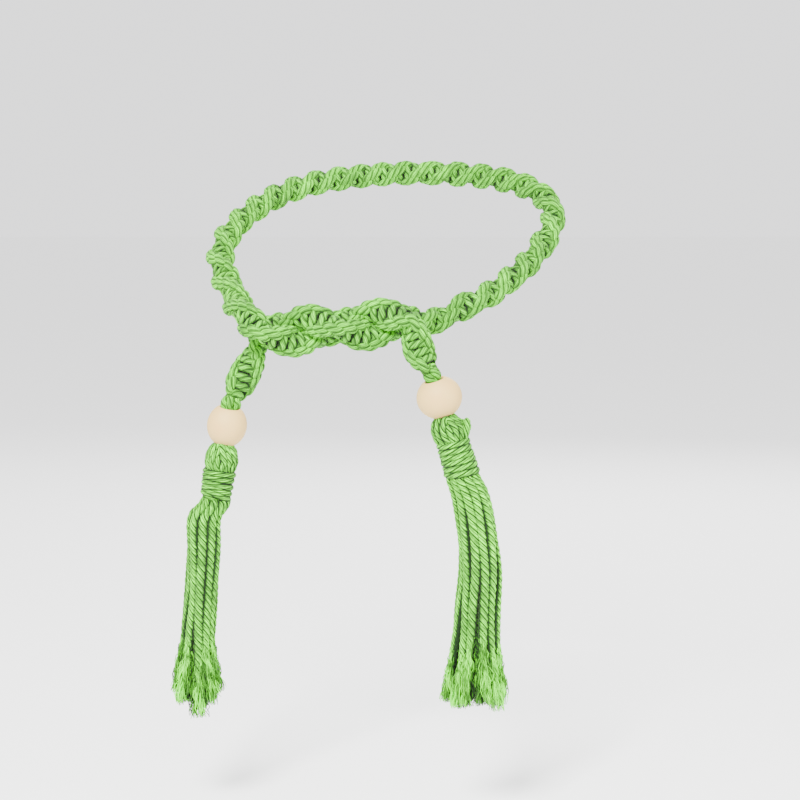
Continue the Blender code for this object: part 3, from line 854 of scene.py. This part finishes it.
def head_parts(side, drop):
    """Cords on a ball, each a spline through its own rows of angle, height and lift."""
    random = np.random.default_rng(drop["seed"])
    cords = [np.array(rows, float) for rows in FOLDS[side]]
    for angle in np.linspace(*BEHIND[side], PLAIN_CORDS):
        lean = np.array(PLAIN_LEAN) + random.uniform(-4, 4, 5)
        cords.append(np.column_stack((angle + lean, PLAIN_ROWS)))
    parts = []
    for rows in cords:
        angle, height, lift = rows.T
        radius = np.interp(height, *np.transpose(BALL)) * drop["head_radius"] - HEAD_CORD_RADIUS
        distance = drop["bead_half"] + drop["head_height"] * (1 - height)
        path, middle = drop_point(drop, distance, radius + lift / 1000, np.radians(angle) - pi / 2)
        line = smooth_rows(np.concatenate((path, middle, lift[:, None]), axis=1), HEAD_STEP)[1]
        points, along, turned = swept(line[None, :, :3], (line[:, :3] - line[:, 3:6])[None],
                                      HEAD_CORD_RADIUS, start=random.uniform(0, 2 * pi))
        shade = np.full(len(line), random.uniform(-1, 1))[None]
        # Painted shade: darker on the side that faces the ball, and less where a cord stands clear of
        # it.
        covered = np.clip((CLEAR_LIFT - np.clip(line[:, 6], 0, None)) / 2, 0, 1)[None, :, None]
        shelter = facing_in(turned, HEAD_PACKED) * covered
        parts.append((points, along, free_outline[2], shade, shelter))
    return parts


# %% [markdown]
# ## The skirts
#
# Below the collar the cords hang free, most round the outside and some within. Near the ends each
# cord comes undone. Its plies part and every ply opens into yarns, which spread and end unevenly.
# A yarn starts inside its ply and follows the ply's own turning, so that the cord seems to
# dissolve into it.

# %% The skirt's middle line and its cords
SKIRT_CORD_RADIUS = 0.00272
SKIRT_STEP = 0.0016
SKIRT_DEPTH = 0.85              # front to back, of its width
SKIRT_PACKED = 0.78
OUTER_ASTRAY = 0.013            # of a turn, by which an outer cord hangs out of place
INNER_ASTRAY = 0.05             # and an inner one
ENDS_UNEVEN = 0.02              # of a cord's length
INNER_REACH = 0.42              # how far out the inner cords hang, of the skirt's radius
WANDER = 0.0007                 # how far a cord wanders in and out


def skirt_line(drop):
    """Even shares of the skirt's length, its middle line and radius there, and its length. The
    line starts inside the collar and leaves it straight."""
    axis = drop_axis(drop)
    end = drop["bead_half"] + drop["head_height"] + drop["collar_height"]
    rows = [np.array(drop["bead"]) + axis * (end + more) for more in (-0.0015, 0.0030)]
    rows += [np.array((x, drop["bead"][1], z)) for x, z in drop["skirt"]]
    along, line = smooth_rows(rows, 0.001)
    share = along / along[-1]
    return share, line, np.interp(share, *np.transpose(drop["skirt_radius"])), along[-1]


def skirt_paths(drop, random):
    """Cord paths (cord, step, xyz), the middle beside them and each cord's length.

    A cord keeps its angle and its share of the skirt's radius, plus a slow wander of its own. The
    drop says how much longer the cords in the middle and at the right are."""
    share, line, radius, length = skirt_line(drop)
    outside, inside = drop["outer_cords"], drop["inner_cords"]
    count = outside + inside
    outer = np.arange(count) < outside
    place = np.where(outer, (np.arange(count) + 0.5) / outside, (np.arange(count) - outside) / inside)
    angle = 2 * pi * (place + np.where(outer, OUTER_ASTRAY, INNER_ASTRAY) * random.uniform(-1, 1, count))
    right = np.cos(angle)
    ends = 1 + drop["ends_middle"] * (1 - 2 * right ** 2) + drop["ends_right"] * right
    ends = ends + ENDS_UNEVEN * random.uniform(-1, 1, count)
    steps = int(length / SKIRT_STEP)
    t = np.linspace(0, 1, steps)[None] * ends[:, None]
    middle = read_rows(t, share, line)
    middle[..., 2] -= np.clip(t - 1, 0, None) * length
    spread = np.interp(t, share, radius)
    phase = random.uniform(0, 2 * pi, (2, count, 1))
    wander = np.clip(t / 0.2, 0, 1)
    reach = np.where(outer[:, None], spread - SKIRT_CORD_RADIUS, INNER_REACH * spread)
    reach = reach + wander * WANDER * np.sin(8 * t + phase[0])
    aside = 0.07 * np.sin(6 * t + phase[1]) + 0.03 * np.sin(13 * t + phase[0])
    turned = angle[:, None] + wander * aside
    out = np.stack((np.cos(turned), SKIRT_DEPTH * np.sin(turned), np.zeros_like(turned)), axis=-1)
    return middle + reach[..., None] * out, middle, ends * length


print("skirts, mm:", [round(1000 * skirt_line(drop)[3]) for drop in DROPS.values()])

# %% Open the cords into yarns
FRAY_BEGINS = 0.68              # share of a cord's length where it starts to open
FRAY_OPEN = 0.86                # and where no cord is left, only yarns
FRAY_UNEVEN = 0.05              # by how much either differs from cord to cord
CORD_LOST = 0.65                # of a cord's radius, where it ends inside its yarns
YARNS_PER_PLY = 20
YARN_RADIUS = 0.00024
YARN_STEPS = 16
YARN_SIDES = 3
YARN_LAY = 0.05
YARN_TIP = 0.6                  # share of its radius that a yarn ends with
YARN_ABOVE = 0.06               # how far above the opening a yarn starts, as a share of the cord
YARN_UNEVEN = 0.10              # of the open length, by which a yarn ends early
PLY_REACH = 0.44                # from a cord's middle to a ply's, of the cord's radius
PLY_RADIUS = 0.42               # of a ply itself, likewise
PLY_SPREAD = 1.1                # by how much its reach grows
UNWOUND = 0.35                  # share of its turning that an open cord loses
YARN_TURNS = 1.3                # turns of a yarn in its ply, for one of the ply
STRAYS = 0.02                   # share of the yarns that curl away from the rest
STRAY_CURL = 0.0035             # and how far
YARN_CURL = 0.0004              # and how far the others do
CURL_WAVES = (33, 29)           # radians sideways and outwards, over a cord's length
PLY_SWAY = 0.0013               # how far a ply's yarns swing aside together
YARN_SWAY = 0.0007              # and each by itself


def whole_cords(drop, paths, towards, begins, start, shade):
    """The cords down to where the last is open. Each shrinks there, and ends inside its yarns."""
    t = np.linspace(0, 1, paths.shape[1])
    kept = t < FRAY_OPEN + FRAY_UNEVEN
    opened = np.clip((t[kept] - begins) / (FRAY_OPEN - FRAY_BEGINS), 0, 1)
    radius = SKIRT_CORD_RADIUS * (1 - CORD_LOST * opened ** 1.5)
    cords, along, turned = swept(paths[:, kept], towards[:, kept], radius, start=start)
    # Painted shade: darker on the side that faces in, and more on the inner cords.
    inner = (np.arange(len(paths)) >= drop["outer_cords"])[:, None, None]
    shelter = np.clip(facing_in(turned, SKIRT_PACKED) + 0.5 * inner, 0, 1)
    return cords, along, free_outline[2], np.broadcast_to(shade[:, None], along.shape), shelter


def loose_yarns(paths, towards, lengths, begins, start, shade, random):
    """Yarns (cord, ply, yarn, step, xyz): the cord's path + the ply's circle round it + the yarn's
    own circle in the ply + a sway. The circles and the sway grow as the cord opens, and the plies
    unwind a little."""
    count, steps = paths.shape[:2]
    t = np.linspace(0, 1, steps)
    yarn_t = begins - YARN_ABOVE + (1 + YARN_ABOVE - begins) * np.linspace(0, 1, YARN_STEPS)

    def read(values):
        """Values at each yarn step: (cord, 1, 1, yarn step, xyz)."""
        rows = [read_rows(own_t, t, own_values) for own_t, own_values in zip(yarn_t, values)]
        return np.stack(rows)[:, None, None]

    up, aside = square_sides(paths, towards)
    at, up, aside = read(paths), read(up), read(aside)
    shape = (count, PLIES, YARNS_PER_PLY, 1)
    lost = np.clip((yarn_t - begins) / (1 - begins), 0, 1)
    fray = eased(lost)[:, None, None]
    arc = lengths[:, None] * (yarn_t - UNWOUND * lost * (yarn_t - begins))
    turn = start[:, None, None, None] - 2 * pi * arc[:, None, None] / FREE_LAY
    turn = turn + 2 * pi * np.arange(PLIES)[None, :, None, None] / PLIES
    ply_reach = SKIRT_CORD_RADIUS * PLY_REACH * (1 + PLY_SPREAD * fray)
    own = random.uniform(0, 2 * pi, shape) - YARN_TURNS * turn
    within = np.sqrt(random.uniform(0, 1, shape)) * SKIRT_CORD_RADIUS * PLY_RADIUS * (1 + fray)
    phase = random.uniform(0, 2 * pi, shape)
    curl = np.where(random.uniform(0, 1, shape) < STRAYS, STRAY_CURL, YARN_CURL)
    sway = PLY_SWAY * random.uniform(-1, 1, (count, PLIES, 1, 1))
    sway = sway + YARN_SWAY * random.uniform(-1, 1, shape)
    sideways, outwards = (waves * yarn_t[:, None, None] + phase for waves in CURL_WAVES)
    x = ply_reach * np.cos(turn) + within * np.cos(own) + fray * (sway + curl * np.sin(sideways))
    y = ply_reach * np.sin(turn) + within * np.sin(own) + fray * YARN_CURL * np.cos(outwards)
    yarns = at + aside * x[..., None] + up * y[..., None]
    early = YARN_UNEVEN * random.uniform(0, 1, shape) ** 2 * (fray > 0)
    yarns = yarns[..., :1, :] + (yarns - yarns[..., :1, :]) * (1 - early)[..., None]
    out = np.broadcast_to(up, yarns.shape).reshape(-1, YARN_STEPS, 3)
    yarns = yarns.reshape(-1, YARN_STEPS, 3)
    radius = np.full(YARN_STEPS, YARN_RADIUS)
    radius[-1] *= YARN_TIP
    outline = (2 * pi * np.arange(YARN_SIDES) / YARN_SIDES, *np.ones((2, YARN_SIDES)))
    tubes, along, turned = swept(yarns, out, radius, outline, YARN_LAY)
    ply_shade = np.repeat(shade, PLIES) + random.uniform(-3.5, 3.5, count * PLIES)
    yarn_shade = np.repeat(ply_shade, YARNS_PER_PLY) + random.uniform(-3.0, 4.0, len(yarns))
    # Painted shade: a yarn is darker the further it lies from its cord's line towards the skirt's
    # middle.
    beside = np.repeat(at[:, 0, 0], PLIES * YARNS_PER_PLY, axis=0)
    depth = np.clip(0.5 - np.sum((yarns - beside) * out, axis=2) / SKIRT_CORD_RADIUS * 0.45, 0, 1)
    return tubes, along, outline[2], np.broadcast_to(yarn_shade[:, None], along.shape), depth[..., None]


def skirt_parts(drop):
    """The skirt's cords, and the yarns that they open into."""
    random = np.random.default_rng(drop["seed"] + 100)
    paths, middle, lengths = skirt_paths(drop, random)
    begins = FRAY_BEGINS + FRAY_UNEVEN * random.uniform(-1, 1, (len(paths), 1))
    start = random.uniform(0, 2 * pi, len(paths))
    shade = random.uniform(-1, 1, len(paths))
    cords = whole_cords(drop, paths, paths - middle, begins, start, shade)
    return cords, loose_yarns(paths, paths - middle, lengths, begins, start, shade, random)


# %% Hang both tassels
for side, drop in DROPS.items():
    piece(strand_mesh(f"tassel_head_{side}", head_parts(side, drop)), "tassel_cotton", f"tassel_{side}")
    for label, part in zip(("skirt", "fray"), skirt_parts(drop)):
        piece(strand_mesh(f"tassel_{label}_{side}", [part]), "tassel_cotton", f"tassel_{side}")

# %% [markdown]
# ## Shader maths
#
# Materials below are written as sums. `Socket` wraps one output of a node, and an expression on
# it adds the Math nodes that work it out. Anything else comes from `Nodes.node`, which takes a
# node's type, its settings and what goes into its sockets.

# %% A socket that can be reckoned with
class Socket:
    """A number in a node tree. Sums with numbers or other sockets add Math nodes."""

    def __init__(self, nodes, output):
        self.nodes = nodes
        self.output = output

    def math(self, operation, *others):
        inputs = dict(enumerate((self, *others)))
        return self.nodes.node("ShaderNodeMath", dict(operation=operation), inputs)

    def __add__(self, other):
        return self.math("ADD", other)

    def __mul__(self, other):
        return self.math("MULTIPLY", other)

    def __sub__(self, other):
        return self.math("SUBTRACT", other)

    def __rsub__(self, other):
        return self * -1 + other

    def __pow__(self, other):
        return self.math("POWER", other)

    def __rpow__(self, other):
        return (self * np.log(other)).math("EXPONENT")

    __radd__ = __add__
    __rmul__ = __mul__


class Nodes:
    """A new material whose nodes are added one by one."""

    def __init__(self, name):
        self.material = bpy.data.materials.new(name)
        self.material.use_nodes = True
        self.tree = self.material.node_tree
        self.shader = self.tree.nodes["Principled BSDF"]

    def node(self, kind, settings=None, inputs=None, output=0):
        """Add a node, set it, feed its sockets with numbers, colours or links, give one output."""
        made = self.tree.nodes.new(kind)
        for name, value in (settings or {}).items():
            if name == "stops":
                for i, (place, colour) in enumerate(value):
                    stop = made.color_ramp.elements[i] if i < 2 else made.color_ramp.elements.new(place)
                    stop.position = place
                    stop.color = colour
            else:
                setattr(made, name, value)
        self.feed(made, inputs or {})
        return Socket(self, made.outputs[output])

    def noise(self, place, scale, detail):
        return self.node("ShaderNodeTexNoise", {}, {"Vector": place, "Scale": scale, "Detail": detail})

    def feed(self, made, inputs):
        """Set or link sockets of a node by name or number."""
        for name, value in inputs.items():
            if isinstance(value, Socket):
                self.tree.links.new(value.output, made.inputs[name])
            else:
                made.inputs[name].default_value = value


# %% [markdown]
# ## Cotton
#
# The cord is dyed a fresh grass green and isn't glossy: loose fibres catch light at its edges,
# which the sheen stands for. Five things vary. The grooves are painted darker: painted shade where
# the plies meet and the fibres are packed. Each ply is spun from yarns, which part in thin lines
# beside the grooves, and these lines are painted darker too, as painted shade. Fine fibres run
# along them, so the noise that draws the fibres is stretched along the cord's own map. Each cord
# is a touch lighter or darker than its neighbour. And all of it is painted darker, as painted
# shade, where other cords shelter it.

# %% Green cotton
# The darkest stop is reached mostly where the cotton's painted shade lowers the lightness.
GREENS = (                      # lightness, and the colour there
    (0.05, (0.004, 0.018, 0.002, 1)),
    (0.95, (0.178, 0.930, 0.008, 1)),
    (0.55, (0.042, 0.212, 0.006, 1)),
)


def cotton(name, yarns, pale=-0.075, painted_groove_shade=0.95):
    """Cotton for cords whose map has the way round in x and metres along in y. Yarns is how many
    lie side by side round the cord. They part where |sin(pi yarns x)| is 0. A lone yarn is 0.
    Pale is added to the lightness everywhere. In a groove the last argument is taken from it, as painted
    shade."""
    n = Nodes(name)
    place = n.node("ShaderNodeUVMap", dict(uv_map="UVMap"))
    across = n.node("ShaderNodeSeparateXYZ", {}, {0: place})
    crown, shade, shelter = (
        n.node("ShaderNodeAttribute", dict(attribute_name=label), output=2)
        for label in ("crown", "shade", "shelter")
    )
    objects = n.node("ShaderNodeTexCoord", output=3)
    stretched = n.node("ShaderNodeMapping", {}, {0: place, 3: (3 * max(yarns, 1), 260, 1)})
    fibres = n.node("ShaderNodeTexNoise", dict(noise_dimensions="2D"),
                    {"Vector": stretched, "Scale": 1.0, "Detail": 3.0, "Roughness": 0.65})
    fuzz = n.noise(objects, 2600, 2)
    patches = n.noise(objects, 90, 2)
    wave = (across * (pi * yarns) + fibres * 0.9).math("SINE")
    parting = (1 - wave.math("ABSOLUTE")) ** 2.5 if yarns else 0
    groove = (1 - crown) ** 2.5
    light = fibres * 1.15 + shade * 0.06 + patches * 0.4 + pale
    # Painted shade: darker in the grooves, in the lines where yarns part, and where other cords shelter
    # it.
    light = light - groove * painted_groove_shade - parting * 0.45 - shelter ** 2 * 1.5
    ramp = n.node("ShaderNodeValToRGB", dict(stops=GREENS), {0: light})
    height = fibres * 0.6 + fuzz * 0.3 - parting * 0.8
    bump = n.node("ShaderNodeBump", {}, {"Strength": 0.6, "Distance": 0.0004, "Height": height})
    n.feed(n.shader, {
        "Base Color": ramp,
        "Roughness": fibres * 0.15 + 0.80,
        "Normal": bump,
        "Sheen Weight": 0.10,
        "Sheen Roughness": 0.45,
        "Sheen Tint": (0.60, 0.95, 0.40, 1),
        "Specular IOR Level": 0.20,
    })
    return n.material


# %% [markdown]
# ## Wood
#
# The beads are unvarnished pale wood. Growth rings cut at a slant show as faint warm bands, with
# short darker pores along the grain and one or two pinkish patches. The grain runs in the
# object's own space, through both beads, each turned a different way by its Mapping node.

# %% Pale wood
PALE_WOOD = (0.600, 0.400, 0.132, 1)
WARM_WOOD = (0.610, 0.368, 0.120, 1)
SPOT_SIZE = 0.0032              # where its warmth has fallen to 37%


def wood(name, turn, spot):
    """Bands and pores along a grain direction given by a turn of the object's own axes, and a
    warmer spot a few millimetres wide round a place."""
    n = Nodes(name)
    objects = n.node("ShaderNodeTexCoord", output=3)
    grain = n.node("ShaderNodeMapping", {}, {0: objects, 2: turn, 3: (1, 1, 0.12)})
    bands = n.noise(grain, 420, 3)
    pores = n.noise(grain, 3200, 2)
    patches = n.noise(objects, 110, 1)
    away = n.node("ShaderNodeVectorMath", dict(operation="DISTANCE"), {0: objects, 1: spot}, output=1)
    glow = (away * away * (-1 / SPOT_SIZE ** 2)).math("EXPONENT")
    warm = bands * 0.5 + pores * 0.3 + patches * 0.7 + glow * 0.45 - 0.50
    ramp = n.node("ShaderNodeValToRGB", dict(stops=((0.15, PALE_WOOD), (0.85, WARM_WOOD))), {0: warm})
    bump = n.node("ShaderNodeBump", {}, {"Strength": 0.12, "Distance": 0.0002, "Height": pores})
    n.feed(n.shader, {
        "Base Color": ramp,
        "Roughness": bands * 0.2 + 0.48,
        "Normal": bump,
        "Specular IOR Level": 0.35,
    })
    return n.material


# %% Give each piece its finish
WOOD_FINISH = {                 # turn of the grain, and the place of the warm spot
    "bead_wood_left": ((0.4, 1.2, 0.3), (-0.0860, -0.0660, -0.0915)),
    "bead_wood_right": ((1.4, 0.2, 0.9), (0.0271, -0.0845, -0.0735)),
}
tied_cotton = cotton("green_cotton_tied", yarns=16, painted_groove_shade=0.7)
free_cotton = cotton("green_cotton_free", yarns=8)
frayed_cotton = cotton("green_cotton_frayed", yarns=0, pale=-0.115)
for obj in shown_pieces():
    if obj.name in WOOD_FINISH:
        finish = wood(f"pale_{obj.name}", *WOOD_FINISH[obj.name])
    elif obj.name.startswith("band"):
        finish = tied_cotton
    elif "fray" in obj.name:
        finish = frayed_cotton
    else:
        finish = free_cotton
    obj.data.materials.append(finish)

# %% [markdown]
# ## Stage and light
#
# A pale floor lies below the tassels, and large soft lights stand around: one in front above, to
# model the cords, one at the right and one behind. Light from all round keeps the shadows open.

# %% Floor and lights
FLOOR_BELOW = 0.060             # under the lowest point of the object
floor_height = cad_box[0].z - FLOOR_BELOW
bpy.ops.mesh.primitive_plane_add(size=60, location=(0, 0, floor_height))
floor = bpy.context.object
floor.name = "floor"
plain = Nodes("pale_floor")
plain.feed(plain.shader, {"Base Color": (0.96, 0.96, 0.955, 1), "Roughness": 0.9})
floor.data.materials.append(plain.material)

LIT_PLACE = (0.0, -0.03, -0.08)         # where each light points
ALL_ROUND = 1.9                 # strength of the light from everywhere
LIGHTS = (                      # name, place, size, watts
    ("key", (-0.4, -1.3, 1.0), 0.5, 104),
    ("right", (1.2, -0.8, 0.4), 0.8, 17),
    ("back", (0.3, 1.3, 0.7), 0.9, 20),
)
for name, place, size, watts in LIGHTS:
    light = bpy.data.objects.new(name, bpy.data.lights.new(name, "AREA"))
    light.data.size = size
    light.data.energy = watts
    light.location = place
    x, y, z = np.subtract(LIT_PLACE, place)
    light.rotation_euler = (np.arctan2(np.hypot(x, y), -z), 0, np.arctan2(y, x) - pi / 2)
    bpy.context.scene.collection.objects.link(light)

world = bpy.data.worlds.new("studio")
bpy.context.scene.world = world
world.use_nodes = True
background = world.node_tree.nodes["Background"]
background.inputs["Color"].default_value = (0.99, 0.99, 1.0, 1)
background.inputs["Strength"].default_value = ALL_ROUND
print("floor, mm:", round(1000 * floor_height), "lights:", [name for name, *rest in LIGHTS])
